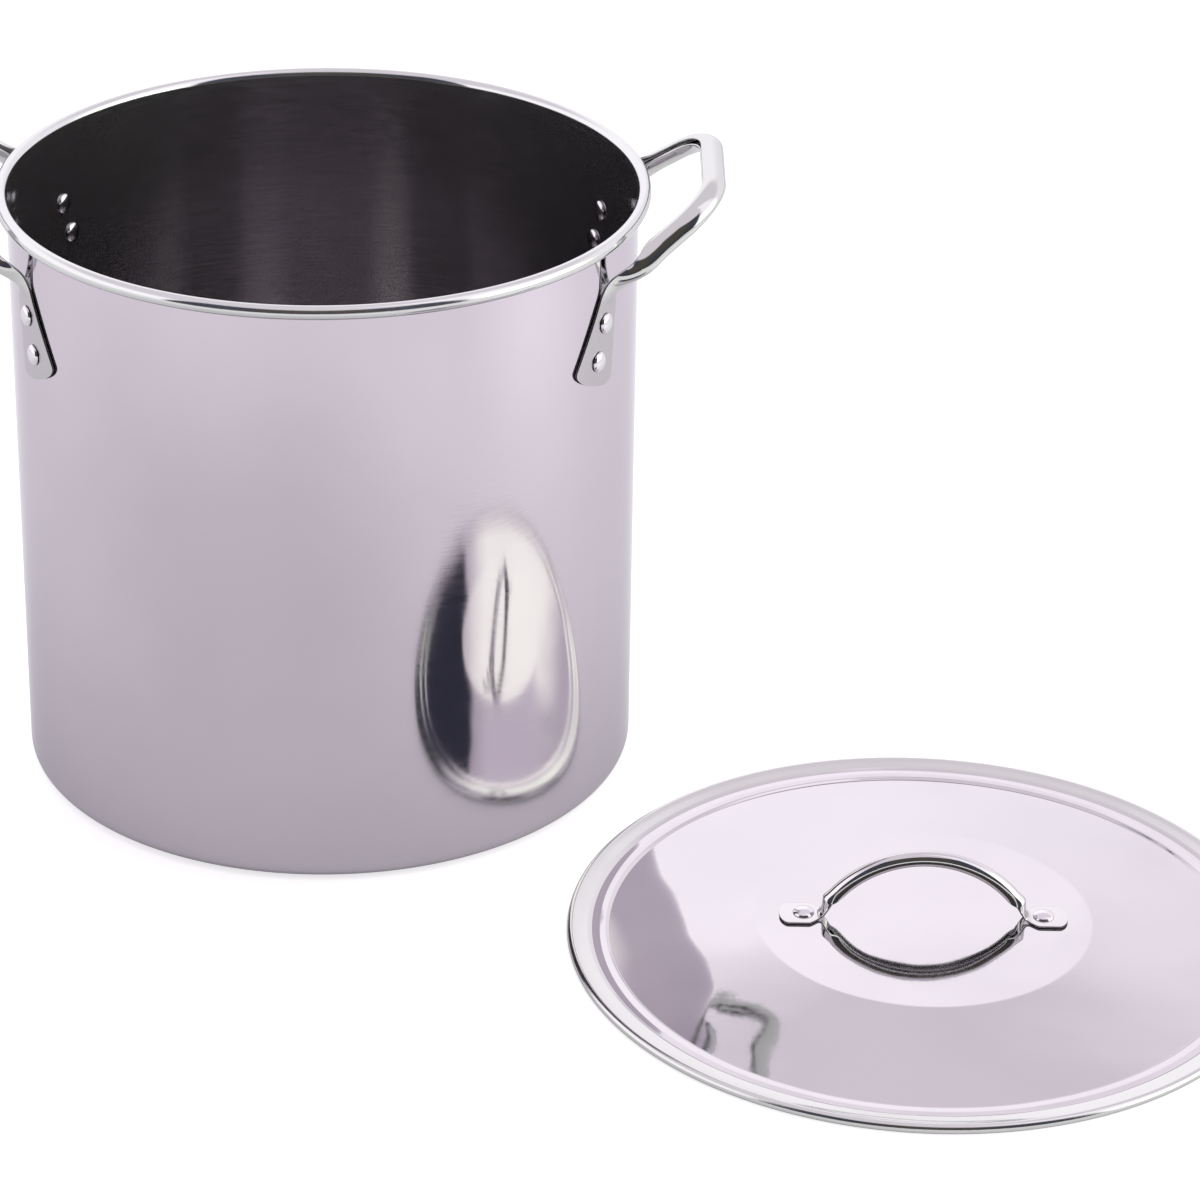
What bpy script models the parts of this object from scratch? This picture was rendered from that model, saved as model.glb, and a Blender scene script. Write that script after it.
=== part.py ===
"""Brew kettle: a deep-drawn stainless pot with two riveted strip handles and a loose lid.

Units are metres and +Z is up. The origin is the centre of the pot's flat underside. The pot stands
on z = 0 with its handles along X, and the lid lies on the same floor beside it, at front right.
Run with: blender --background --python part.py
"""

import math

import bmesh
import bpy
from mathutils import Matrix, Vector

# Pot
KETTLE_HEIGHT = 0.3261
RIM_RADIUS = 0.171
WALL_RADIUS = 0.1646
CORNER_RADIUS = 0.0085
SHEET = 0.0008
CURL_SWEEP = math.radians(300)

# Lid, with heights measured from the floor that it lies on
LID_CENTRE = Vector((0.3131, -0.2137, 0.0))
LID_TURN = math.radians(-0.5)
PLATEAU_RADIUS = 0.0860
PLATEAU_HEIGHT = 0.0115
GROOVE_RADIUS = 0.1606
GROOVE_HEIGHT = 0.0016
SEAT_RADIUS = 0.1620
SEAT_HEIGHT = 0.0026
SEAT_CROWN = 0.0002
STEP_RUN = 0.0020
FLANGE_RADIUS = 0.1712
FLANGE_HEIGHT = 0.0037
LID_BEAD_CENTRE = (0.1793, 0.0026)
LID_BEAD_RADIUS = 0.0022
LID_BEAD_START = math.radians(106)
LID_BEAD_END = math.radians(-120)

# Side handles, each bent from one strip
SIDE_STRIP = 0.0015
NECK_ANGLE = math.radians(25.7)
TAB_END_ANGLE = math.radians(31.6)
NECK_DROP = 0.030
TAB_END_DROP = 0.077
GRIP_REACH = 0.2025
GRIP_HALF_WIDTH = 0.0470
GRIP_RISE = 0.0102
GRIP_BEND = 0.0335
NECK_BEND = 0.014
TAB_WIDTH = 0.0350
TAB_ROUND = 0.0065
NECK_WIDTH = 0.0150
NECK_AT = 0.048
GRIP_DEPTH_SHARE = 1.38
RIVET_DROPS = {"upper": 0.0460, "lower": 0.0650}
# Flat width and curl in radians, each against the distance from the strip's tip
SIDE_WIDTHS = [(NECK_AT, NECK_WIDTH), (0.062, 0.0137), (0.086, 0.0228)]
SIDE_CURLS = [(0.040, 0.0), (0.050, 0.6), (0.068, 3.2), (0.086, 5.45)]

# Lid handle, bent from a narrower strip
LID_STRIP = 0.0012
LID_TAB_TIP = 0.0735
LID_TAB_NECK = 0.0520
LID_TAB_WIDTH = 0.0190
LID_ARCH_RISE = 0.0332
LID_NECK_BEND = 0.004
LID_RIVET_REACH = 0.0612
LID_TAB_ROUND = 0.005
LID_WIDTHS = [(0.0145, LID_TAB_WIDTH), (0.0215, 0.0095), (0.036, 0.0158)]
LID_CURLS = [(0.0185, 0.02), (0.0225, 0.9), (0.036, 4.5)]

# Rivets
SHANK_RADIUS = 0.0023
HEAD_RADIUS = 0.0055
HEAD_HEIGHT = 0.0024
TAIL_RADIUS = 0.0055
TAIL_HEIGHT = 0.0023

CLEARANCE = 0.0003
CUTTER_LENGTH = 0.012
MERGE = 0.00001
POT_STEPS = 60
RIVET_STEPS = 10

POT_FACET = WALL_RADIUS * (1 - math.cos(math.pi / POT_STEPS))


def clear_scene():
    for item in list(bpy.data.objects):
        bpy.data.objects.remove(item)


def new_collection(name):
    collection = bpy.data.collections.new(name)
    bpy.context.scene.collection.children.link(collection)
    return collection


def steel(name, shade, roughness):
    """A polished stainless steel for one piece."""
    material = bpy.data.materials.new(name)
    material.use_nodes = True
    surface = material.node_tree.nodes["Principled BSDF"]
    surface.inputs["Base Color"].default_value = (shade, shade * 0.985, shade * 1.01, 1)
    surface.inputs["Metallic"].default_value = 1
    surface.inputs["Roughness"].default_value = roughness
    return material


def add_piece(name, mesh, collection, shade=0.62, roughness=0.08):
    piece = bpy.data.objects.new(name, mesh)
    mesh.materials.append(steel(name, shade, roughness))
    collection.objects.link(piece)
    return piece


def add_empty(name, location, collection, turn=0.0):
    """The point that a body's pieces hang on; for the lid it lies on the joint's axis."""
    empty = bpy.data.objects.new(name, None)
    empty.location = location
    empty.rotation_euler = (0, 0, turn)
    empty.empty_display_size = 0.05
    collection.objects.link(empty)
    return empty


def smooth(mesh, sharp_degrees=35):
    mesh.shade_smooth()
    mesh.set_sharp_from_angle(angle=math.radians(sharp_degrees))


def arc(centre, radius, start, end, steps):
    """Points on a circle in the X-Z plane, both ends included. Angles are in radians."""
    turn = (end - start) / steps
    angles = [start + turn * step for step in range(steps + 1)]
    return [(centre[0] + radius * math.cos(a), centre[1] + radius * math.sin(a)) for a in angles]


def turned(name, profile, steps, collection, shade=0.62, roughness=0.08):
    """A profile of (radius, height) points, spun about Z with a Screw modifier."""
    mesh = bpy.data.meshes.new(name)
    edges = [(at, at + 1) for at in range(len(profile) - 1)]
    mesh.from_pydata([(radius, 0, height) for radius, height in profile], edges, [])
    piece = add_piece(name, mesh, collection, shade, roughness)
    screw = piece.modifiers.new("Spin", "SCREW")
    screw.axis = "Z"
    screw.steps = steps
    screw.render_steps = steps
    screw.use_merge_vertices = True
    screw.merge_threshold = MERGE
    screw.use_smooth_shade = True
    return piece


def add_thickness(piece, thickness):
    """Turns an open surface into sheet metal, half of the thickness to each side."""
    shell = piece.modifiers.new("Sheet", "SOLIDIFY")
    shell.thickness = thickness
    shell.offset = 0
    shell.use_even_offset = True


def drill(piece, cutters):
    for cutter in cutters:
        hole = piece.modifiers.new("Hole " + cutter.name, "BOOLEAN")
        hole.operation = "DIFFERENCE"
        hole.solver = "EXACT"
        hole.object = cutter


def fillet(before, corner, after, radius, steps):
    """An arc of the radius that joins two straight runs meeting at the corner."""
    back = (before - corner).normalized()
    ahead = (after - corner).normalized()
    half = back.angle(ahead) / 2
    centre = corner + (back + ahead).normalized() * (radius / math.sin(half))
    first = corner + back * (radius / math.tan(half)) - centre
    last = corner + ahead * (radius / math.tan(half)) - centre
    axis = first.cross(last).normalized()
    sweep = math.pi - 2 * half
    return [
        centre + Matrix.Rotation(sweep * step / steps, 3, axis) @ first for step in range(steps + 1)
    ]


def between(low, high, share):
    """Smooth step from low to high as share goes from 0 to 1."""
    share = min(max(share, 0.0), 1.0)
    return low + (high - low) * share * share * (3 - 2 * share)


def ramp(places, at):
    """Value at a distance, eased between the (distance, value) places."""
    for (start, low), (end, high) in zip(places[:-1], places[1:]):
        if at <= end:
            return between(low, high, (at - start) / (end - start))
    return places[-1][1]


def half_strip(name, path, normal_at, rules, under_curve, columns):
    """The middle surface of half a strip, which rolls its edges towards its back.

    rules(distance) gives its developed width, its curl in radians and its depth as a share of a
    round tube's. normal_at gives the outward normal where the strip lies on a surface, whose
    curvature is under_curve, and None further on, where the normal is carried along without twist.
    The path's last point lies past the mirror plane and only sets the direction there.
    """
    mesh = bpy.data.meshes.new(name)
    form = bmesh.new()
    normal = normal_at(path[0])
    tangent = (path[1] - path[0]).normalized()
    travelled = 0.0
    rows = []
    for at, point in enumerate(path[:-1]):
        behind = path[max(at - 1, 0)]
        travelled += (point - behind).length
        turn = tangent.rotation_difference((path[at + 1] - behind).normalized())
        tangent = turn @ tangent
        normal = normal_at(point) or turn @ normal
        normal = (normal - tangent * normal.dot(tangent)).normalized()
        across = tangent.cross(normal)
        width, curl, depth_share = rules(travelled)
        bend = width / curl
        depth = bend * depth_share
        under_sag = width**2 / 8 * under_curve * between(1, 0, curl / 2)
        crown = depth * (1 - math.cos(min(curl, math.pi) / 2)) - under_sag
        row = []
        for column in range(columns + 1):
            angle = curl * (column / columns - 0.5)
            outwards = depth * (math.cos(angle) - 1) + crown
            row.append(form.verts.new(point + across * bend * math.sin(angle) + normal * outwards))
        rows.append(row)
    for row, following in zip(rows[:-1], rows[1:]):
        for column in range(columns):
            corners = (row[column], row[column + 1], following[column + 1], following[column])
            form.faces.new(corners)
    form.to_mesh(mesh)
    form.free()
    smooth(mesh, 50)
    return mesh


def round_tab(width, at, length):
    """Width of a tab whose end is rounded over a length, at a distance from its tip."""
    if at >= length:
        return width
    share = 1 - (at + 0.1 * length) / (1.1 * length)
    return width * math.sqrt(1 - share * share)


def mirror(piece, axis):
    """The other half of a piece that is open at its mirror plane."""
    double = piece.modifiers.new("Other half", "MIRROR")
    double.use_axis = [number == axis for number in range(3)]
    double.use_clip = True
    double.merge_threshold = MERGE


def kettle_profile():
    """Middle line of the sheet: underside, corner, wall and the rim curled outwards."""
    half = SHEET / 2
    wall = WALL_RADIUS - half
    corner = CORNER_RADIUS - half
    curl = (RIM_RADIUS - WALL_RADIUS) / 2
    curl_centre = (wall + curl, KETTLE_HEIGHT - half - curl)
    profile = [(0.0, half)]
    profile += arc((wall - corner, half + corner), corner, -math.pi / 2, 0, 3)
    profile += arc(curl_centre, curl, math.pi, math.pi - CURL_SWEEP, 8)
    return profile


def lid_profile():
    """Middle line of the sheet: plateau, cone, groove, crowned seat, flange and rolled edge."""
    step = FLANGE_RADIUS - STEP_RUN
    profile = [
        (0.0, PLATEAU_HEIGHT),
        (PLATEAU_RADIUS, PLATEAU_HEIGHT),
        (GROOVE_RADIUS, GROOVE_HEIGHT),
        (SEAT_RADIUS, SEAT_HEIGHT),
        ((SEAT_RADIUS + step) / 2, SEAT_HEIGHT + SEAT_CROWN),
        (step, SEAT_HEIGHT),
        (FLANGE_RADIUS, FLANGE_HEIGHT),
    ]
    profile += arc(LID_BEAD_CENTRE, LID_BEAD_RADIUS, LID_BEAD_START, LID_BEAD_END, 6)
    return profile


def rivet_profile(stack, head_gap, tail_gap):
    """Outline of a rivet whose shank passes through a stack; height 0 is the stack's far side."""
    head_foot = stack + head_gap
    tail_foot = -tail_gap
    head = [
        (HEAD_RADIUS * math.sin(a), head_foot + HEAD_HEIGHT * math.cos(a))
        for a in (0, math.radians(35), math.radians(65), math.radians(90))
    ]
    tail = [
        (TAIL_RADIUS * math.sin(a), tail_foot - TAIL_HEIGHT * math.cos(a))
        for a in (math.radians(90), math.radians(55), 0)
    ]
    return head + [(SHANK_RADIUS, head_foot), (SHANK_RADIUS, tail_foot)] + tail


def add_rivet(name, place, outwards, stack, tail_gap, collection, cutters):
    """A rivet and the cutter for its hole. place is on the far side of the stack it holds."""
    profile = rivet_profile(stack, CLEARANCE, tail_gap)
    rivet = turned(name, profile, RIVET_STEPS, collection, 0.72, 0.12)
    rotation = outwards.to_track_quat("Z", "Y")
    rivet.location = place
    rivet.rotation_euler = rotation.to_euler()
    form = bmesh.new()
    hole_radius = SHANK_RADIUS + CLEARANCE
    bmesh.ops.create_cone(
        form,
        cap_ends=True,
        segments=RIVET_STEPS,
        radius1=hole_radius,
        radius2=hole_radius,
        depth=CUTTER_LENGTH,
    )
    mesh = bpy.data.meshes.new(name + "_hole")
    form.to_mesh(mesh)
    form.free()
    cutter = bpy.data.objects.new(name + "_hole", mesh)
    cutter.location = place
    cutter.rotation_euler = rivet.rotation_euler
    cutter.hide_render = True
    cutter.display_type = "WIRE"
    cutters.objects.link(cutter)
    return rivet, cutter


def on_wall(angle, drop, radius):
    """A point on a cylinder about the pot's axis, a drop below the rim's top."""
    return Vector((radius * math.cos(angle), radius * math.sin(angle), KETTLE_HEIGHT - drop))


def tab_angle(drop):
    """Azimuth of a tab's centre line, which splays outwards as it goes down."""
    share = (drop - NECK_DROP) / (TAB_END_DROP - NECK_DROP)
    return NECK_ANGLE + (TAB_END_ANGLE - NECK_ANGLE) * share


def side_handle_path():
    """Up the front tab, along the arm and round to the middle of the grip at +X."""
    tab_radius = WALL_RADIUS + CLEARANCE + SIDE_STRIP / 2
    tab_length = TAB_END_DROP - NECK_DROP
    shares = (0, 0.025, 0.1, 0.19, 0.28, 0.4, 0.53, 0.66, 0.78)
    drops = [TAB_END_DROP - tab_length * share for share in shares]
    path = [on_wall(-tab_angle(drop), drop, tab_radius) for drop in drops]
    neck = on_wall(-NECK_ANGLE, NECK_DROP, tab_radius)
    corner = Vector((GRIP_REACH, -GRIP_HALF_WIDTH, KETTLE_HEIGHT + GRIP_RISE))
    middle = Vector((GRIP_REACH, 0, KETTLE_HEIGHT + GRIP_RISE))
    path += fillet(path[-1], neck, corner, NECK_BEND, 3)
    bend = fillet(neck, corner, middle, GRIP_BEND, 5)
    arm_start = path[-1]
    path += [arm_start.lerp(bend[0], share) for share in (0.12, 0.26, 0.45, 0.7)]
    return path + bend + [middle, middle * 2 - bend[-1]]


def side_handle_mesh(name):
    """A strip whose ends stay flat as riveted tabs and whose middle is rolled into a tube."""
    tab_radius = WALL_RADIUS + CLEARANCE + SIDE_STRIP / 2

    def rules(at):
        if at < NECK_AT:
            width = TAB_WIDTH + (NECK_WIDTH - TAB_WIDTH) * (at - TAB_ROUND) / (NECK_AT - TAB_ROUND)
        else:
            width = ramp(SIDE_WIDTHS, at)
        width = round_tab(width, at, TAB_ROUND)
        curl = max(ramp(SIDE_CURLS, at), width / tab_radius)
        return width, curl, between(1.0, GRIP_DEPTH_SHARE, (at - NECK_AT) / 0.03)

    def normal_at(point):
        on_tab = point.z < KETTLE_HEIGHT - NECK_DROP - 0.01
        return Vector((point.x, point.y, 0)).normalized() if on_tab else None

    return half_strip(name, side_handle_path(), normal_at, rules, 1 / tab_radius, 7)


def lid_handle_path():
    """Along the left tab and up to the middle of the arch, in the lid's own X-Z plane."""
    foot = PLATEAU_HEIGHT + SHEET / 2 + CLEARANCE + LID_STRIP / 2
    arch_radius = (LID_TAB_NECK**2 + LID_ARCH_RISE**2) / (2 * LID_ARCH_RISE)
    end_slope = math.asin(LID_TAB_NECK / arch_radius)
    neck = Vector((-LID_TAB_NECK, 0, foot))
    rise = Vector((math.cos(end_slope), 0, math.sin(end_slope)))
    tab_length = LID_TAB_TIP - LID_TAB_NECK
    path = [
        Vector((tab_length * share - LID_TAB_TIP, 0, foot))
        for share in (0, 0.04, 0.16, 0.33, 0.54, 0.72)
    ]
    path += fillet(path[-1], neck, neck + rise, LID_NECK_BEND, 3)
    crown = foot + LID_ARCH_RISE - arch_radius
    for share in (0.12, 0.22, 0.35, 0.5, 0.65, 0.8, 0.93, 1, 1.07):
        angle = end_slope * (1 - share)
        path.append(
            Vector((-arch_radius * math.sin(angle), 0, crown + arch_radius * math.cos(angle)))
        )
    return path


def lid_handle_mesh(name):
    """A strip with a flat tab at each end and a half-round arch, open underneath."""

    def rules(at):
        return round_tab(ramp(LID_WIDTHS, at), at, LID_TAB_ROUND), ramp(LID_CURLS, at), 1.0

    def normal_at(point):
        return Vector((0, 0, 1)) if point.x < -LID_RIVET_REACH else None

    return half_strip(name, lid_handle_path(), normal_at, rules, 0.0, 6)


def build_kettle(parts, cutters):
    hub = add_empty("kettle", Vector((0, 0, 0)), parts)
    body = turned("kettle_body", kettle_profile(), POT_STEPS, parts)
    body.parent = hub
    add_thickness(body, SHEET)
    stack = SHEET + CLEARANCE + SIDE_STRIP
    tail_gap = CLEARANCE + POT_FACET
    for side, turn in (("right", 0.0), ("left", math.pi)):
        name = "handle_" + side
        handle = add_piece(name, side_handle_mesh(name), parts, 0.64, 0.1)
        handle.rotation_euler = (0, 0, turn)
        handle.parent = hub
        mirror(handle, 1)
        add_thickness(handle, SIDE_STRIP)
        for end, sign in (("front", -1), ("rear", 1)):
            for level, drop in RIVET_DROPS.items():
                mirrored = sign if side == "right" else -sign
                angle = turn + mirrored * tab_angle(drop)
                outwards = Vector((math.cos(angle), math.sin(angle), 0))
                place = on_wall(angle, drop, WALL_RADIUS - SHEET)
                rivet, cutter = add_rivet(
                    f"{name}_rivet_{end}_{level}", place, outwards, stack, tail_gap, parts, cutters
                )
                rivet.parent = hub
                drill(body, [cutter])
                drill(handle, [cutter])


def build_lid(parts, cutters):
    hub = add_empty("lid", LID_CENTRE, parts, LID_TURN)
    pan = turned("lid_pan", lid_profile(), POT_STEPS, parts, 0.66, 0.07)
    pan.parent = hub
    add_thickness(pan, SHEET)
    handle = add_piece("lid_handle", lid_handle_mesh("lid_handle"), parts, 0.64, 0.1)
    handle.parent = hub
    mirror(handle, 0)
    add_thickness(handle, LID_STRIP)
    stack = SHEET + CLEARANCE + LID_STRIP
    for side, reach in (("left", -LID_RIVET_REACH), ("right", LID_RIVET_REACH)):
        place = Vector((reach, 0, PLATEAU_HEIGHT - SHEET / 2))
        rivet, cutter = add_rivet(
            "lid_rivet_" + side, place, Vector((0, 0, 1)), stack, CLEARANCE, parts, cutters
        )
        rivet.parent = hub
        cutter.parent = hub
        drill(pan, [cutter])
        drill(handle, [cutter])


def main():
    clear_scene()
    parts = new_collection("brew_kettle")
    cutters = new_collection("cutters")
    build_kettle(parts, cutters)
    build_lid(parts, cutters)


main()
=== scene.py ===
"""A polished stainless steel brew kettle, with its lid beside it on a pale studio floor."""

import math

import bpy
from mathutils import Matrix, Vector


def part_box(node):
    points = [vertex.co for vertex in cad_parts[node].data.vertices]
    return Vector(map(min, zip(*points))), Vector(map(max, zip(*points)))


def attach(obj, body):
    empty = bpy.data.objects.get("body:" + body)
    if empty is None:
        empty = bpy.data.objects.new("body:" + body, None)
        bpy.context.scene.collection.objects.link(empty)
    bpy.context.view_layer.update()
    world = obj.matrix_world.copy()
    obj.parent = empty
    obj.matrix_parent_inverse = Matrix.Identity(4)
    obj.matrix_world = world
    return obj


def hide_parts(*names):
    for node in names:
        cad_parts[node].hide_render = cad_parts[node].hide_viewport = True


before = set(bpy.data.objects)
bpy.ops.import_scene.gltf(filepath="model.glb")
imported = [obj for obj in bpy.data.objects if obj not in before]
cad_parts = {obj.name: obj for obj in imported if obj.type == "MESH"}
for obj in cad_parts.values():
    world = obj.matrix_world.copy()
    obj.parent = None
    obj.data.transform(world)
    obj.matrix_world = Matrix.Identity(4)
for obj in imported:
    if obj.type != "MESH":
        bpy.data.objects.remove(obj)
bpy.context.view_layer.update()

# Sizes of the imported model, in metres, measured on its nodes.
_, body_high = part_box("kettle_body")
pan_low, pan_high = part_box("lid_pan")
RIM = body_high.y
HEIGHT = round(body_high.z, 4)
LID_AXIS = Vector(((pan_low.x + pan_high.x) / 2, (pan_low.y + pan_high.y) / 2, 0))

# Sizes that the boxes don't give. The grips' reach and the bead's centre are a hair less than the
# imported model's, so that the round pieces stay inside the box of its faceted ones.

# The pot.
WALL = 0.1646
SHEET = 0.0008
CORNER = 0.0085
CURL_SWEEP = math.radians(300)

# The lid, from its middle outwards.
LID_TURN = math.radians(-0.5)
PLATEAU = 0.0860
PLATEAU_RISE = 0.0115
GROOVE = 0.1606
GROOVE_RISE = 0.0016
SEAT = 0.1620
SEAT_RISE = 0.0026
SEAT_CROWN = 0.0002
STEP_RUN = 0.0020
FLANGE = 0.1712
FLANGE_RISE = 0.0037
BEAD = (0.17925, 0.0026)
BEAD_CURL = 0.0022
BEAD_START = math.radians(106)
BEAD_END = math.radians(-120)
WIDE_BEND = 0.012
TIGHT_BEND = 0.0012

# The side handles.
SIDE_STRIP = 0.0015
NECK_ANGLE = math.radians(25.7)
TAB_END_ANGLE = math.radians(31.6)
NECK_DROP = 0.030
TAB_END_DROP = 0.077
GRIP_REACH = 0.2023
GRIP_HALF_WIDTH = 0.0470
GRIP_RISE = 0.0102
GRIP_BEND = 0.0335
NECK_BEND = 0.014
TAB_WIDTH = 0.0350
TAB_ROUND = 0.0065
NECK_WIDTH = 0.0150
NECK_AT = 0.048
GRIP_DEPTH_SHARE = 1.38
GRIP_DEPTH_RUN = 0.03
TAB_EASE = 0.01
RIVET_DROPS = {"upper": 0.0460, "lower": 0.0650}
# Flat width and curl in radians, each against the distance from the strip's tip.
SIDE_WIDTHS = [(NECK_AT, NECK_WIDTH), (0.062, 0.0137), (0.086, 0.0228)]
SIDE_CURLS = [(0.040, 0.0), (0.050, 0.6), (0.068, 3.2), (0.086, 5.45)]

# The lid's handle.
LID_STRIP = 0.0012
LID_TAB_TIP = 0.0735
LID_TAB_NECK = 0.0520
LID_TAB_WIDTH = 0.0190
LID_ARCH_RISE = 0.0332
LID_NECK_BEND = 0.004
LID_RIVET_REACH = 0.0612
LID_TAB_ROUND = 0.005
LID_WIDTHS = [(0.0145, LID_TAB_WIDTH), (0.0215, 0.0095), (0.036, 0.0158)]
LID_CURLS = [(0.0185, 0.02), (0.0225, 0.9), (0.036, 4.5)]

# The rivets, and the room that each strip and head stands off by.
SHANK = 0.0023
HEAD = 0.0055
HEAD_RISE = 0.0024
TAIL = 0.0055
TAIL_RISE = 0.0023
GAP = 0.0003
LID_RIVET_GAP = GAP * 0.2

# The share of a tab, from its tip, that is straight before its neck bends, and the share of the
# lid handle's half arch that the bend takes up.
SIDE_STRAIGHT = 0.78
LID_STRAIGHT = 0.72
LID_ARCH_START = 0.06

# How finely the pieces are cut up: counts of faces, and lengths along a path.
ROUND_STEPS = 288
RIVET_STEPS = 48
DOME_STEPS = {"head": 12, "tail": 10}
BASE_STEPS = 24
CORNER_STEPS = 12
WALL_STEPS = 48
CURL_STEPS = 40
BEAD_STEPS = 24
BEND_STEPS = 8
NECK_STEPS = 12
GRIP_STEPS = 24
LID_NECK_STEPS = 10
LID_TIP_STEPS = 24
STRIP_COLUMNS = 36
EDGE_ANGLES = (-60, -30, 0, 30, 60)
ARCH_STEPS = 64
LID_SPACING = 0.004
TIP_RUN = 0.003
TIP_SPACING = 0.00012
TAB_SPACING = 0.0005
LAST_SPACING = 0.0002
NECK_SPACING = 0.001
ARM_SPACING = 0.0015
GRIP_SPACING = 0.003
LID_TIP_SPACING = 0.0002
LID_TAB_SPACING = 0.0006


# Shapes


def turned(name, profile, steps, materials, place=None):
    """Spins a closed outline of (radius, height, normal radius, normal height, slot) about Z."""
    points = [p for p in profile if p[0] > 1e-7]
    verts, normals, faces, slots = [], [], [], []
    for step in range(steps):
        angle = 2 * math.pi * step / steps
        c, s = math.cos(angle), math.sin(angle)
        for radius, height, nr, nz, _ in points:
            verts.append((radius * c, radius * s, height))
            normals.append((nr * c, nr * s, nz))
    size = len(points)
    for step in range(steps):
        here, there = step * size, (step + 1) % steps * size
        for at in range(size - 1):
            faces.append((here + at, there + at, there + at + 1, here + at + 1))
            slots.append(points[at][4])
    for end, pole in ((0, profile[0]), (size - 1, profile[-1])):
        verts.append((0, 0, pole[1]))
        normals.append((0, 0, pole[3]))
        centre = len(verts) - 1
        for step in range(steps):
            here, there = step * size + end, (step + 1) % steps * size + end
            faces.append((centre, there, here) if end == 0 else (centre, here, there))
            slots.append(points[end][4])
    return finish_mesh(name, verts, faces, normals, slots, materials, place)


def finish_mesh(name, verts, faces, normals, slots, materials, place=None):
    """A smooth object with the normals that its true shape has at each point."""
    mesh = bpy.data.meshes.new(name)
    mesh.from_pydata(verts, [], faces)
    for material in materials:
        mesh.materials.append(material)
    mesh.polygons.foreach_set("material_index", slots)
    mesh.shade_smooth()
    mesh.normals_split_custom_set_from_vertices([Vector(n).normalized() for n in normals])
    mesh.update()
    piece = bpy.data.objects.new(name, mesh)
    bpy.context.scene.collection.objects.link(piece)
    if place is not None:
        piece.matrix_world = place
    return piece


def line(start, end, steps, side):
    """Points of a straight run with its normal; side is +1 for the left of the direction."""
    dx, dz = end[0] - start[0], end[1] - start[1]
    length = math.hypot(dx, dz)
    normal = (-dz / length * side, dx / length * side)
    return [
        (start[0] + dx * k / steps, start[1] + dz * k / steps, *normal) for k in range(steps + 1)
    ]


def arc(centre, radius, start, end, steps, side):
    """Points of an arc with its normal; side is +1 where the normal points away from the centre."""
    out = []
    for k in range(steps + 1):
        a = start + (end - start) * k / steps
        c, s = math.cos(a), math.sin(a)
        out.append((centre[0] + radius * c, centre[1] + radius * s, c * side, s * side))
    return out


def sheet_outline(middle, thickness, inner_slot):
    """The closed outline of sheet metal about its middle line, from the axis out and back."""
    half = thickness / 2
    outer = [(r + nr * half, z + nz * half, nr, nz, 0) for r, z, nr, nz in middle]
    inner = [(r - nr * half, z - nz * half, -nr, -nz, inner_slot) for r, z, nr, nz in middle]
    r, z, nr, nz = middle[-1]
    end = (r + nz * half * 0.9, z - nr * half * 0.9, nz, -nr, 0)
    return outer + [end] + inner[::-1]


def smooth_line(corners, spacing):
    """A middle line through (radius, height, fillet radius) corners, with its upward normals."""
    points = []
    count = len(corners)
    start = corners[0][:2]
    for at in range(1, count):
        r, z, bend = corners[at]
        corner = Vector((r, z))
        back = (Vector(start) - corner).normalized()
        if at == count - 1 or bend == 0:
            run = line(start, (r, z), max(1, round((Vector(start) - corner).length / spacing)), 1)
            points += run if not points else run[1:]
            start = (r, z)
            continue
        ahead = (Vector(corners[at + 1][:2]) - corner).normalized()
        half = back.angle(ahead) / 2
        reach = bend / math.tan(half)
        centre = corner + (back + ahead).normalized() * (bend / math.sin(half))
        first, last = corner + back * reach, corner + ahead * reach
        run = line(start, first, max(1, round((Vector(start) - first).length / spacing)), 1)
        points += run if not points else run[1:]
        a0 = math.atan2(first.y - centre.y, first.x - centre.x)
        a1 = math.atan2(last.y - centre.y, last.x - centre.x)
        turn = (a1 - a0 + math.pi) % (2 * math.pi) - math.pi
        points += arc(centre, bend, a0, a0 + turn, BEND_STEPS, 1 if turn < 0 else -1)[1:]
        start = tuple(last)
    return points


def kettle_outline():
    half = SHEET / 2
    wall, corner = WALL - half, CORNER - half
    curl = (RIM - WALL) / 2
    top = HEIGHT - half - curl
    middle = line((0, half), (wall - corner, half), BASE_STEPS, -1)
    middle += arc((wall - corner, half + corner), corner, -math.pi / 2, 0, CORNER_STEPS, 1)[1:]
    middle += line((wall, half + corner), (wall, top), WALL_STEPS, -1)[1:]
    middle += arc((wall + curl, top), curl, math.pi, math.pi - CURL_SWEEP, CURL_STEPS, -1)[1:]
    return sheet_outline(middle, SHEET, 1)


def lid_outline():
    step = FLANGE - STEP_RUN
    bead = arc(BEAD, BEAD_CURL, BEAD_START, BEAD_END, BEAD_STEPS, 1)
    corners = [
        (0, PLATEAU_RISE, 0),
        (PLATEAU, PLATEAU_RISE, WIDE_BEND),
        (GROOVE, GROOVE_RISE, TIGHT_BEND),
        (SEAT, SEAT_RISE, TIGHT_BEND),
        ((SEAT + step) / 2, SEAT_RISE + SEAT_CROWN, WIDE_BEND),
        (step, SEAT_RISE, TIGHT_BEND),
        (FLANGE, FLANGE_RISE, TIGHT_BEND),
        (bead[0][0], bead[0][1], 0),
    ]
    middle = smooth_line(corners, LID_SPACING)[:-1] + bead
    return sheet_outline(middle, SHEET, 0)


def dome(radius, rise, share):
    """A point of a half oval and its normal, from its top at share 0 to its edge at share 1."""
    angle = math.pi / 2 * share
    r, z = radius * math.sin(angle), rise * math.cos(angle)
    nr, nz = r / radius**2, z / rise**2
    size = math.hypot(nr, nz)
    return r, z, nr / size, nz / size


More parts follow.
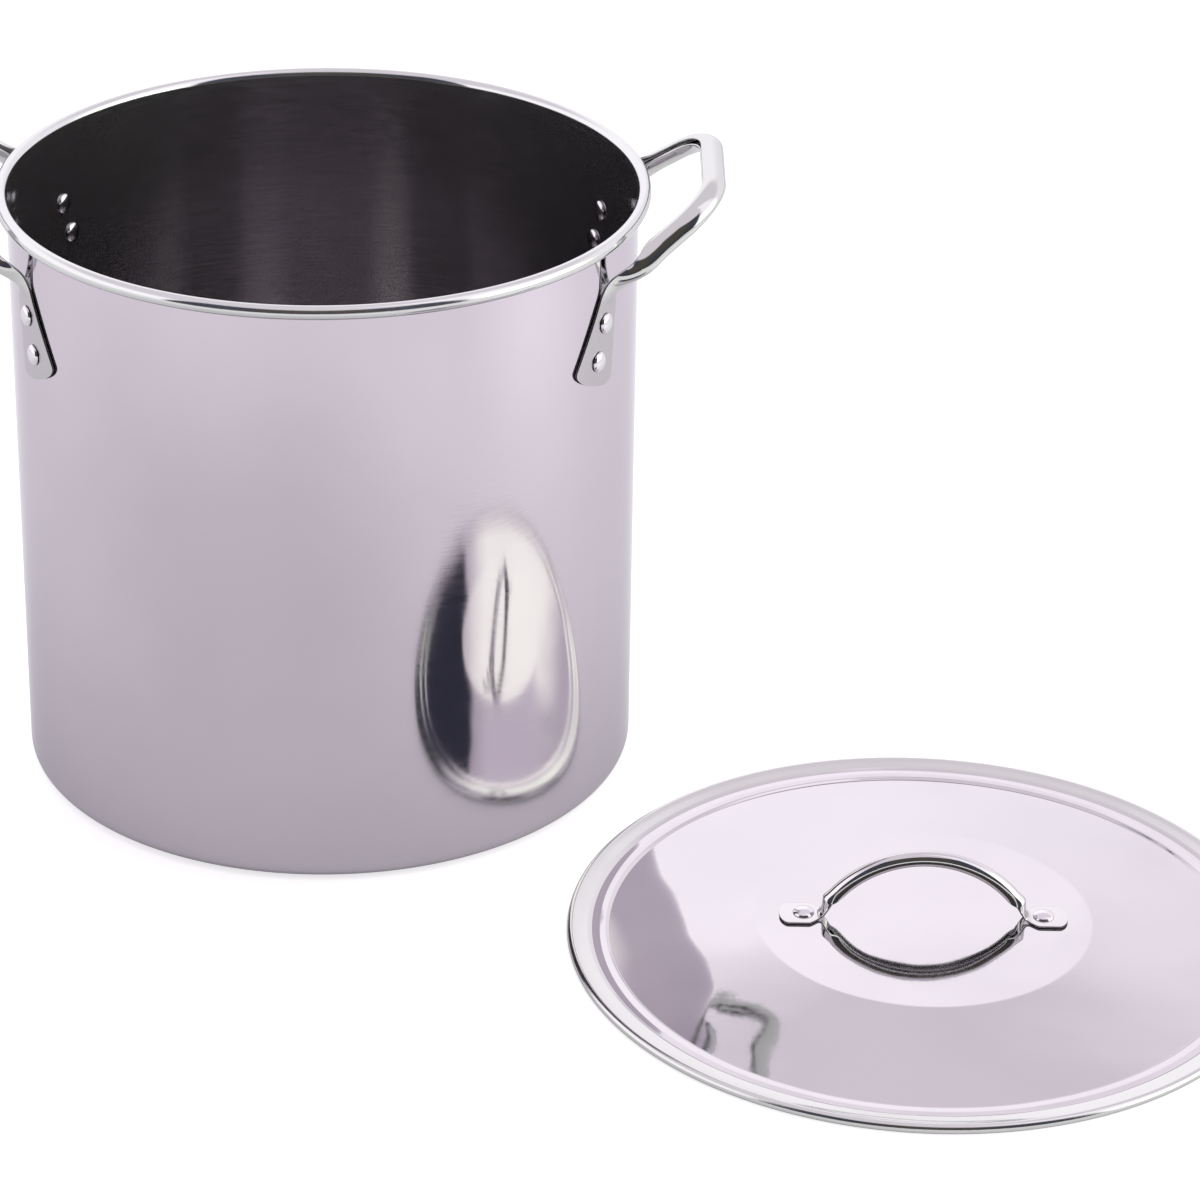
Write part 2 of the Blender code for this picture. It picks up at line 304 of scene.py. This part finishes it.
def rivet_outline(stack, head_gap, tail_gap):
    """A domed head over the stack, a shank through it and a domed tail under it."""
    foot, tail_foot = stack + head_gap, -tail_gap
    under, bevel, inset = foot - 0.00001, 0.0001, 0.999
    outline = []
    steps = DOME_STEPS["head"]
    for k in range(steps + 1):
        r, z, nr, nz = dome(HEAD, HEAD_RISE, k / steps)
        outline.append((r, foot + z, nr, nz, 0))
    outline += [(HEAD * inset, under, 0.3, -1, 0), (SHANK, under, 0, -1, 0)]
    outline += [(SHANK, foot - bevel, 1, 0, 0), (SHANK, tail_foot + bevel, 1, 0, 0)]
    outline += [(SHANK, tail_foot, 0, 1, 0), (TAIL * inset, tail_foot, 0.3, 1, 0)]
    steps = DOME_STEPS["tail"]
    for k in range(1, steps + 1):
        r, z, nr, nz = dome(TAIL, TAIL_RISE, (steps - k) / steps)
        outline.append((r, tail_foot - z, nr, -nz, 0))
    return outline


def fillet(before, corner, after, radius, steps):
    """Points of a rounded corner in space."""
    back = (before - corner).normalized()
    ahead = (after - corner).normalized()
    half = back.angle(ahead) / 2
    centre = corner + (back + ahead).normalized() * (radius / math.sin(half))
    first = corner + back * (radius / math.tan(half)) - centre
    last = corner + ahead * (radius / math.tan(half)) - centre
    axis = first.cross(last).normalized()
    sweep = math.pi - 2 * half
    return [
        centre + Matrix.Rotation(sweep * step / steps, 3, axis) @ first for step in range(steps + 1)
    ]


def between(low, high, share):
    """An easy change from low to high."""
    share = min(max(share, 0.0), 1.0)
    return low + (high - low) * share * share * (3 - 2 * share)


def ramp(places, at):
    """An easy run through (place, value) pairs."""
    for (start, low), (end, high) in zip(places[:-1], places[1:]):
        if at <= end:
            return between(low, high, (at - start) / (end - start))
    return places[-1][1]


def round_tab(width, at, length):
    """The width of a strip whose tip is rounded over a length, and never quite a point."""
    if at >= length:
        return width
    blunt = 0.02 * length
    share = 1 - (at + blunt) / (length + blunt)
    return width * math.sqrt(1 - share * share)


def strip(name, half_path, mirrored, normal_at, rules, under_curve, thickness, materials, place):
    """A bent strip whose edges roll towards its back, the same on both sides of a mirror plane.

    half_path runs from the tip to one step past that plane, which stands across the axis whose
    number is mirrored. rules gives the width, the curl and the depth's share at a distance.
    under_curve is one over the radius of the round wall that the tab lies on.
    """
    rows = []
    normal = normal_at(half_path[0])
    tangent = (half_path[1] - half_path[0]).normalized()
    travelled = 0.0
    for at, point in enumerate(half_path[:-1]):
        behind = half_path[max(at - 1, 0)]
        travelled += (point - behind).length
        turn = tangent.rotation_difference((half_path[at + 1] - behind).normalized())
        tangent = turn @ tangent
        normal = normal_at(point) or turn @ normal
        normal = (normal - tangent * normal.dot(tangent)).normalized()
        across = tangent.cross(normal)
        width, curl, share = rules(travelled)
        bend = width / curl
        depth = bend * share
        under_sag = width**2 / 8 * under_curve * between(1, 0, curl / 2)
        crown = depth * (1 - math.cos(min(curl, math.pi) / 2)) - under_sag
        row = []
        for column in range(STRIP_COLUMNS + 1):
            angle = curl * (column / STRIP_COLUMNS - 0.5)
            outwards = depth * (math.cos(angle) - 1) + crown
            row.append(point + across * bend * math.sin(angle) + normal * outwards)
        rows.append(row)
    mirror = Matrix.Diagonal([-1 if number == mirrored else 1 for number in range(3)])
    rows += [[mirror @ p for p in row] for row in rows[-2::-1]]
    return thicken(name, rows, thickness, materials, place)


def rounded_edge(point, normal, outwards, half, angles):
    out = []
    for angle in angles:
        turn = math.radians(angle)
        away = outwards * math.cos(turn) - normal * math.sin(turn)
        out.append((point + away * half, away))
    return out


def thicken(name, rows, thickness, materials, place):
    """A closed solid about a grid of middle points, with rounded edges."""
    half = thickness / 2
    count, width = len(rows), len(rows[0])
    verts, normals, faces = [], [], []
    for i in range(count):
        before, after = rows[max(i - 1, 0)], rows[min(i + 1, count - 1)]
        frames = []
        for j in range(width):
            along = (after[j] - before[j]).normalized()
            over = (rows[i][min(j + 1, width - 1)] - rows[i][max(j - 1, 0)]).normalized()
            frames.append((rows[i][j], over.cross(along).normalized(), over))
        loop = [(p + n * half, n) for p, n, _ in frames]
        p, n, over = frames[-1]
        loop += rounded_edge(p, n, over, half, EDGE_ANGLES)
        loop += [(p - n * half, -n) for p, n, _ in frames[::-1]]
        p, n, over = frames[0]
        loop += rounded_edge(p, n, -over, half, EDGE_ANGLES[::-1])
        verts += [p for p, _ in loop]
        normals += [n for _, n in loop]
    size = len(verts) // count
    for i in range(count - 1):
        for k in range(size):
            a, b = i * size + k, i * size + (k + 1) % size
            faces.append((a, b, b + size, a + size))
    for i, sign in ((0, -1), (count - 1, 1)):
        ends = [i * size + k for k in range(size)]
        faces.append(ends if sign > 0 else ends[::-1])
    return finish_mesh(name, verts, faces, normals, [0] * len(faces), materials, place)


def on_wall(angle, drop, radius):
    """A point at an angle about Z and a drop below the rim."""
    return Vector((radius * math.cos(angle), radius * math.sin(angle), HEIGHT - drop))


def tab_angle(drop):
    """The angle about Z of a tab's middle, which leans outwards as it runs down."""
    share = (drop - NECK_DROP) / (TAB_END_DROP - NECK_DROP)
    return NECK_ANGLE + (TAB_END_ANGLE - NECK_ANGLE) * share


def stretch(points, spacing):
    """More points along the straight runs of a path."""
    out = [points[0]]
    for start, end in zip(points[:-1], points[1:]):
        steps = max(1, round((end - start).length / spacing))
        out += [start.lerp(end, k / steps) for k in range(1, steps + 1)]
    return out


def side_handle_path():
    """From the front tab's tip, up the wall, over the neck and out to the grip's middle."""
    tab_radius = WALL + GAP + SIDE_STRIP / 2
    straight_end = TAB_END_DROP - (TAB_END_DROP - NECK_DROP) * SIDE_STRAIGHT
    drops = []
    drop = TAB_END_DROP
    while drop > straight_end + LAST_SPACING:
        drops.append(drop)
        drop -= TIP_SPACING if drop > TAB_END_DROP - TIP_RUN else TAB_SPACING
    drops.append(straight_end)
    path = [on_wall(-tab_angle(drop), drop, tab_radius) for drop in drops]
    neck = on_wall(-NECK_ANGLE, NECK_DROP, tab_radius)
    corner = Vector((GRIP_REACH, -GRIP_HALF_WIDTH, HEIGHT + GRIP_RISE))
    middle = Vector((GRIP_REACH, 0, HEIGHT + GRIP_RISE))
    first = fillet(path[-1], neck, corner, NECK_BEND, NECK_STEPS)
    bend = fillet(neck, corner, middle, GRIP_BEND, GRIP_STEPS)
    path += stretch([path[-1], first[0]], NECK_SPACING)[1:] + first[1:]
    path += stretch([first[-1], bend[0]], ARM_SPACING)[1:] + bend[1:]
    path += stretch([bend[-1], middle], GRIP_SPACING)[1:]
    return path + [middle * 2 - path[-2]]


def side_handle(name, materials, place):
    tab_radius = WALL + GAP + SIDE_STRIP / 2

    def rules(at):
        if at < NECK_AT:
            width = TAB_WIDTH + (NECK_WIDTH - TAB_WIDTH) * (at - TAB_ROUND) / (NECK_AT - TAB_ROUND)
        else:
            width = ramp(SIDE_WIDTHS, at)
        width = round_tab(width, at, TAB_ROUND)
        curl = max(ramp(SIDE_CURLS, at), width / tab_radius)
        return width, curl, between(1.0, GRIP_DEPTH_SHARE, (at - NECK_AT) / GRIP_DEPTH_RUN)

    def normal_at(point):
        on_tab = point.z < HEIGHT - NECK_DROP - TAB_EASE
        return Vector((point.x, point.y, 0)).normalized() if on_tab else None

    path = side_handle_path()
    return strip(name, path, 1, normal_at, rules, 1 / tab_radius, SIDE_STRIP, materials, place)


def lid_handle(name, materials, place):
    foot = PLATEAU_RISE + SHEET / 2 + GAP + LID_STRIP / 2
    arch_radius = (LID_TAB_NECK**2 + LID_ARCH_RISE**2) / (2 * LID_ARCH_RISE)
    end_slope = math.asin(LID_TAB_NECK / arch_radius)
    neck = Vector((-LID_TAB_NECK, 0, foot))
    rise = Vector((math.cos(end_slope), 0, math.sin(end_slope)))
    tip = Vector((-LID_TAB_TIP, 0, foot))
    start = tip.lerp(neck, LID_STRAIGHT)
    path = [tip + Vector((LID_TIP_SPACING * k, 0, 0)) for k in range(LID_TIP_STEPS + 1)]
    path += stretch([path[-1], start], LID_TAB_SPACING)[1:]
    bend = fillet(start, neck, neck + rise, LID_NECK_BEND, LID_NECK_STEPS)
    path += stretch([path[-1], bend[0]], LID_TAB_SPACING)[1:] + bend[1:]
    crown = foot + LID_ARCH_RISE - arch_radius
    for k in range(round(LID_ARCH_START * ARCH_STEPS), ARCH_STEPS + 2):
        angle = end_slope * (1 - k / ARCH_STEPS)
        across, up = arch_radius * math.sin(angle), arch_radius * math.cos(angle)
        path.append(Vector((-across, 0, crown + up)))

    def rules(at):
        return round_tab(ramp(LID_WIDTHS, at), at, LID_TAB_ROUND), ramp(LID_CURLS, at), 1.0

    def normal_at(point):
        return Vector((0, 0, 1)) if point.x < -LID_RIVET_REACH else None

    return strip(name, path, 0, normal_at, rules, 0.0, LID_STRIP, materials, place)


# Materials

NOISE_SPAN = (0.3, 0.7)
STAIN_SPAN = (0.35, 0.7)
STAIN_SCALE = 9.0
STAIN_SHADE = 0.96
LINE_DEPTH = 0.0002
EDGE_TINT = (0.8, 0.8, 0.82)


class Nodes:
    """A short way to write a node tree."""

    def __init__(self, tree):
        self.tree = tree
        tree.nodes.clear()

    def add(self, kind, inputs=None, **settings):
        node = self.tree.nodes.new(kind)
        for key, value in settings.items():
            setattr(node, key, value)
        for key, value in (inputs or {}).items():
            if isinstance(value, bpy.types.NodeSocket):
                self.tree.links.new(value, node.inputs[key])
            else:
                node.inputs[key].default_value = value
        return node

    def math(self, operation, *values):
        return self.add("ShaderNodeMath", dict(enumerate(values)), operation=operation).outputs[0]

    def map(self, value, low, high, to_low=0.0, to_high=1.0, smooth=True):
        kind = "SMOOTHSTEP" if smooth else "LINEAR"
        inputs = {"Value": value, "From Min": low, "From Max": high}
        inputs.update({"To Min": to_low, "To Max": to_high})
        node = self.add("ShaderNodeMapRange", inputs, interpolation_type=kind)
        return node.outputs["Result"]

    def distance(self, place, centre):
        inputs = {0: place, 1: centre}
        node = self.add("ShaderNodeVectorMath", inputs, operation="DISTANCE")
        return node.outputs["Value"]

    def mix(self, factor, first, second):
        """A mix of two colours, each a socket or a linear (red, green, blue)."""
        inputs = {0: factor}
        for number, tone in ((6, first), (7, second)):
            inputs[number] = tone if isinstance(tone, bpy.types.NodeSocket) else (*tone, 1)
        return self.add("ShaderNodeMix", inputs, data_type="RGBA").outputs[2]


def steel(
    name, colour, roughness, grain, streak, wave, wave_scale=11.0, smear=0.0, metal=1.0, patch=None
):
    """Polished stainless steel: fine polishing lines, faint stains and a slightly wavy sheet.

    grain is how strong the polishing lines are, streak is their scale on each axis, and wave is how
    deep the sheet's waves are. smear is how far the lines, which run round the Z axis, spread a
    reflection upwards.
    patch is (height or radius, start, end, colour, roughness): the colour past end, and how much
    rougher it is there. On the side handles that colour is a painted shade over the tabs.
    """
    material = bpy.data.materials.new(name)
    material.use_nodes = True
    n = Nodes(material.node_tree)
    place = n.add("ShaderNodeTexCoord").outputs["Object"]
    lines = n.add("ShaderNodeMapping", {"Vector": place, "Scale": streak}).outputs[0]
    fine = n.add("ShaderNodeTexNoise", {"Vector": lines, "Scale": 1.0, "Detail": 3.0}).outputs[0]
    cloud = {"Vector": place, "Scale": STAIN_SCALE, "Detail": 4.0}
    stain = n.add("ShaderNodeTexNoise", cloud).outputs[0]
    swell = {"Vector": place, "Scale": wave_scale, "Detail": 0.5}
    sheet = n.add("ShaderNodeTexNoise", swell).outputs[0]
    low, high = roughness
    lined = n.map(fine, *NOISE_SPAN, 0, grain)
    rough = n.math("ADD", n.map(stain, *NOISE_SPAN, low, high), lined)
    dark = [part * STAIN_SHADE for part in colour]
    tone = n.mix(n.map(stain, *STAIN_SPAN), colour, dark)
    if patch:
        # Past end the colour changes, which on the side handles paints shade over the tabs.
        along, start, end, other, extra = patch
        spot = n.add("ShaderNodeSeparateXYZ", {"Vector": place}).outputs
        squares = [n.math("MULTIPLY", spot[axis], spot[axis]) for axis in (0, 1)]
        at = spot[2] if along == "height" else n.math("SQRT", n.math("ADD", *squares))
        share = n.map(at, start, end)
        tone = n.mix(share, tone, other)
        rough = n.math("ADD", rough, n.math("MULTIPLY", share, extra))
    wavy = n.add("ShaderNodeBump", {"Strength": 1.0, "Distance": wave, "Height": sheet})
    cut = {"Strength": grain, "Distance": LINE_DEPTH, "Height": fine, "Normal": wavy.outputs[0]}
    brushed = n.add("ShaderNodeBump", cut).outputs[0]
    inputs = {"Base Color": tone, "Metallic": metal, "Roughness": rough, "Normal": brushed}
    if smear > 0:
        around = n.add("ShaderNodeTangent", direction_type="RADIAL", axis="Z").outputs[0]
        inputs.update({"Anisotropic": smear, "Anisotropic Rotation": 0.25, "Tangent": around})
    shader = n.add("ShaderNodeBsdfPrincipled", inputs)
    shader.inputs["Specular Tint"].default_value = (*EDGE_TINT, 1)
    n.add("ShaderNodeOutputMaterial", {"Surface": shader.outputs[0]})
    return material


POLISHED = steel(
    "kettle_polished",
    colour=(0.560, 0.522, 0.572),
    roughness=(0.045, 0.07),
    grain=0.03,
    streak=(60, 60, 900),
    wave=0.00025,
    smear=0.75,
)
INSIDE = steel(
    "kettle_inside",
    colour=(0.575, 0.555, 0.575),
    roughness=(0.08, 0.12),
    grain=0.05,
    streak=(60, 60, 900),
    wave=0.0003,
    smear=0.8,
    metal=0.97,
    patch=("height", HEIGHT - 0.008, HEIGHT - 0.006, (0.60, 0.62, 0.61), 0.0),
)
LID_STEEL = steel(
    "lid_polished",
    colour=(0.58, 0.568, 0.585),
    roughness=(0.02, 0.05),
    grain=0.02,
    streak=(300, 300, 300),
    wave=0.0009,
    wave_scale=20.0,
    patch=("radius", FLANGE - 0.002, FLANGE, (0.585, 0.60, 0.585), 0.12),
)
STRIP_STEEL = steel(
    "strip_polished",
    colour=(0.60, 0.60, 0.60),
    roughness=(0.05, 0.10),
    grain=0.04,
    streak=(500, 500, 500),
    wave=0.0003,
)
SIDE_STEEL = steel(
    "side_strip_polished",
    colour=(0.57, 0.59, 0.57),
    roughness=(0.05, 0.10),
    grain=0.04,
    streak=(500, 500, 500),
    wave=0.0004,
    wave_scale=30.0,
    # Painted shade: from 26 to 36 mm below the rim downwards the tabs turn darker; they are also a
    # little rougher there.
    patch=("height", HEIGHT - 0.026, HEIGHT - 0.036, (0.46, 0.445, 0.46), 0.06),
)
RIVET_STEEL = steel(
    "rivet_polished",
    colour=(0.68, 0.67, 0.69),
    roughness=(0.08, 0.15),
    grain=0.05,
    streak=(400, 400, 400),
    wave=0.0003,
)


# The pieces


def build_body():
    body = turned("kettle_body_polished", kettle_outline(), ROUND_STEPS, [POLISHED, INSIDE])
    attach(body, "kettle")
    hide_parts("kettle_body")


def build_lid():
    pan_place = Matrix.Translation(LID_AXIS)
    lid_place = pan_place @ Matrix.Rotation(LID_TURN, 4, "Z")
    pan = turned("lid_pan_polished", lid_outline()[::-1], ROUND_STEPS, [LID_STEEL], pan_place)
    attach(pan, "lid")
    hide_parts("lid_pan")
    grip = lid_handle("lid_handle_polished", [STRIP_STEEL], lid_place)
    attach(grip, "lid")
    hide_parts("lid_handle")
    outline = rivet_outline(SHEET + GAP + LID_STRIP, LID_RIVET_GAP, LID_RIVET_GAP)[::-1]
    for side, reach in (("left", -LID_RIVET_REACH), ("right", LID_RIVET_REACH)):
        name = "lid_rivet_" + side + "_domed"
        place = lid_place @ Matrix.Translation((reach, 0, PLATEAU_RISE - SHEET / 2))
        rivet = turned(name, outline, RIVET_STEPS, [RIVET_STEEL], place)
        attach(rivet, "lid")
        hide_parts("lid_rivet_" + side)


def build_side_handle(side, turn):
    name = "handle_" + side
    handle = side_handle(name + "_polished", [SIDE_STEEL], Matrix.Rotation(turn, 4, "Z"))
    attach(handle, "kettle")
    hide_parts(name)
    outline = rivet_outline(SHEET + GAP + SIDE_STRIP, GAP, GAP)[::-1]
    for end, sign in (("front", -1), ("rear", 1)):
        for level, drop in RIVET_DROPS.items():
            mirrored = sign if side == "right" else -sign
            angle = turn + mirrored * tab_angle(drop)
            node = f"{name}_rivet_{end}_{level}"
            out = Vector((math.cos(angle), math.sin(angle), 0))
            place = Matrix.Translation(on_wall(angle, drop, WALL - SHEET))
            place @= out.to_track_quat("Z", "Y").to_matrix().to_4x4()
            rivet = turned(node + "_domed", outline, RIVET_STEPS, [RIVET_STEEL], place)
            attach(rivet, "kettle")
            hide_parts(node)


# The floor

FLOOR_REACH = 9.0
FLOOR_LIGHT = (1.02, 1.0, 1.03)
FLOOR_TONES = ((0.46, 0.46, 0.46), (0.44, 0.44, 0.44))
# Painted light on the floor: how brightly it glows at the pot's rim, where the dimmer glow paints
# shade, and further away, and the extra glow that the viewer sees on top.
FLOOR_GLOW = (0.36, 0.54)
FLOOR_FAR = 0.8
SEEN_GLOW = 0.38
# Painted pools of light and shade, round patches that glow more or less: the centre, the radius and
# the change at the centre.
FLOOR_PAINTED_POOLS = [
    ((0.8, -0.2, 0), 0.45, 0.20),
    ((-0.08, -0.52, 0), 0.60, -0.21),
    ((-0.55, -0.28, 0), 0.50, -0.15),
]


def painted_glow_floor():
    material = bpy.data.materials.new("studio_floor")
    material.use_nodes = True
    n = Nodes(material.node_tree)
    place = n.add("ShaderNodeTexCoord").outputs["Object"]
    cloud = n.add("ShaderNodeTexNoise", {"Vector": place, "Scale": 1.3}).outputs[0]
    tone = n.mix(n.map(cloud, *NOISE_SPAN), *FLOOR_TONES)
    # Painted light and shade on the floor: its glow is dimmer near the pot, brighter or dimmer in
    # round pools, and brighter still for the viewer.
    glow = n.map(n.distance(place, (0, 0, 0)), RIM, FLOOR_FAR, *FLOOR_GLOW, False)
    for centre, radius, change in FLOOR_PAINTED_POOLS:
        glow = n.math("ADD", glow, n.map(n.distance(place, centre), 0, radius, change, 0))
    seen = n.add("ShaderNodeLightPath").outputs["Is Camera Ray"]
    glow = n.math("ADD", glow, n.math("MULTIPLY", seen, SEEN_GLOW))
    inputs = {"Base Color": tone, "Roughness": 0.9, "Emission Strength": glow}
    inputs.update({"Specular IOR Level": 0.0, "Emission Color": (*FLOOR_LIGHT, 1)})
    shader = n.add("ShaderNodeBsdfPrincipled", inputs)
    n.add("ShaderNodeOutputMaterial", {"Surface": shader.outputs[0]})
    return material


def stage():
    mesh = bpy.data.meshes.new("studio_floor")
    corners = [(-1, -1), (1, -1), (1, 1), (-1, 1)]
    verts = [(x * FLOOR_REACH, y * FLOOR_REACH, 0) for x, y in corners]
    mesh.from_pydata(verts, [], [(0, 1, 2, 3)])
    mesh.materials.append(painted_glow_floor())
    floor = bpy.data.objects.new("studio_floor", mesh)
    bpy.context.scene.collection.objects.link(floor)


# The light

# Tones of the studio. The back wall is white low down, less so towards the right, and lavender
# grey higher up. A soft box stands on the right, and is brighter low down. The room behind the
# viewer is brown in the middle, navy to the sides and neutral near the floor.
WHITE = (1, 1, 1)
WALL_LEFT = (1.60, 1.51, 1.60)
WALL_RIGHT = (1.36, 1.27, 1.36)
WALL_HIGH = (1.05, 0.955, 1.055)
BOX_LOW = (2.83, 2.92, 2.56)
BOX_HIGH = (1.55, 1.43, 1.55)
ROOM_SIDES = (0.066, 0.072, 0.108)
ROOM_MIDDLE = (0.102, 0.090, 0.080)
ROOM_LOW = (0.068, 0.066, 0.068)

# Where each change begins and ends. Rise is a direction's height, and right and forward are the
# parts of its flat heading, so each is between -1 and 1.
WALL_FADE_RIGHT = (0.04, 0.36)
WALL_FADE_RISE = (0.50, 0.73)
BOX_RIGHT = (0.78, 0.90)
BOX_FORWARD = (0.35, 0.05)
BOX_FADE_RISE = (0.50, 0.62)
ROOM_FORWARD = (-0.60, -0.65)
ROOM_RISE = (0.85, 0.79)
ROOM_MIDDLE_FORWARD = (-0.88, -0.97)
ROOM_LOW_RISE = (0.32, 0.16)


def studio():
    """A bright studio all round, with the unlit room on the side that the viewer stands."""
    world = bpy.data.worlds.new("studio")
    bpy.context.scene.world = world
    world.use_nodes = True
    n = Nodes(world.node_tree)
    way = n.add("ShaderNodeTexCoord").outputs["Generated"]
    x, y, rise = n.add("ShaderNodeSeparateXYZ", {"Vector": way}).outputs
    flat = n.math("SQRT", n.math("SUBTRACT", 1.0, n.math("MULTIPLY", rise, rise)))
    flat = n.math("MAXIMUM", flat, 0.0001)
    forward = n.math("DIVIDE", y, flat)
    right = n.math("DIVIDE", x, flat)
    wall = n.mix(n.map(right, *WALL_FADE_RIGHT), WALL_LEFT, WALL_RIGHT)
    wall = n.mix(n.map(rise, *WALL_FADE_RISE), wall, WALL_HIGH)
    box = n.mix(n.map(rise, *BOX_FADE_RISE), BOX_LOW, BOX_HIGH)
    on_box = n.math("MULTIPLY", n.map(right, *BOX_RIGHT), n.map(forward, *BOX_FORWARD))
    room = n.mix(n.map(forward, *ROOM_MIDDLE_FORWARD), ROOM_SIDES, ROOM_MIDDLE)
    room = n.mix(n.map(rise, *ROOM_LOW_RISE), room, ROOM_LOW)
    in_room = n.math("MULTIPLY", n.map(forward, *ROOM_FORWARD), n.map(rise, *ROOM_RISE))
    around = n.mix(in_room, n.mix(on_box, wall, box), room)
    seen = n.add("ShaderNodeLightPath").outputs["Is Camera Ray"]
    shade = n.add("ShaderNodeBackground", {"Color": n.mix(seen, around, WHITE), "Strength": 1.0})
    n.add("ShaderNodeOutputWorld", {"Surface": shade.outputs[0]})


def light():
    """A soft lamp overhead, which the steel doesn't mirror, and plain tones in the picture."""
    lamp = bpy.data.lights.new("soft_top", "AREA")
    lamp.shape = "DISK"
    lamp.size = 3.0
    lamp.energy = 40
    top = bpy.data.objects.new("soft_top", lamp)
    top.location = (0.3, 0.3, 3.0)
    top.visible_glossy = False
    top.visible_camera = False
    bpy.context.scene.collection.objects.link(top)
    view = bpy.context.scene.view_settings
    view.view_transform = "Standard"
    view.look = "None"
    view.exposure = 0
    view.gamma = 1


# The viewer: the place, before it turns about Z with the aim, then the angles and the lens.

CAMERA_PLACE = Vector((0.1476, -2.1467, 1.1748))
CAMERA_PITCH = 0.4705
CAMERA_ROLL = 0.0168
CAMERA_TURN = -0.0101
CAMERA_LENS = 132.46


def camera():
    look = Vector((0, math.cos(CAMERA_PITCH), -math.sin(CAMERA_PITCH)))
    level = Vector((1, 0, 0))
    over = Vector((0, math.sin(CAMERA_PITCH), math.cos(CAMERA_PITCH)))
    right = level * math.cos(CAMERA_ROLL) + over * math.sin(CAMERA_ROLL)
    up = over * math.cos(CAMERA_ROLL) - level * math.sin(CAMERA_ROLL)
    spin = Matrix.Rotation(CAMERA_TURN, 3, "Z")
    axes = Matrix((spin @ right, spin @ up, -(spin @ look))).transposed()
    data = bpy.data.cameras.new("camera")
    data.sensor_width = 36
    data.lens = CAMERA_LENS
    data.clip_start = 0.01
    data.clip_end = 60
    viewer = bpy.data.objects.new("camera", data)
    viewer.matrix_world = Matrix.Translation(spin @ CAMERA_PLACE) @ axes.to_4x4()
    bpy.context.scene.collection.objects.link(viewer)
    bpy.context.scene.camera = viewer


build_body()
build_lid()
build_side_handle("right", 0.0)
build_side_handle("left", math.pi)
stage()
studio()
light()
camera()
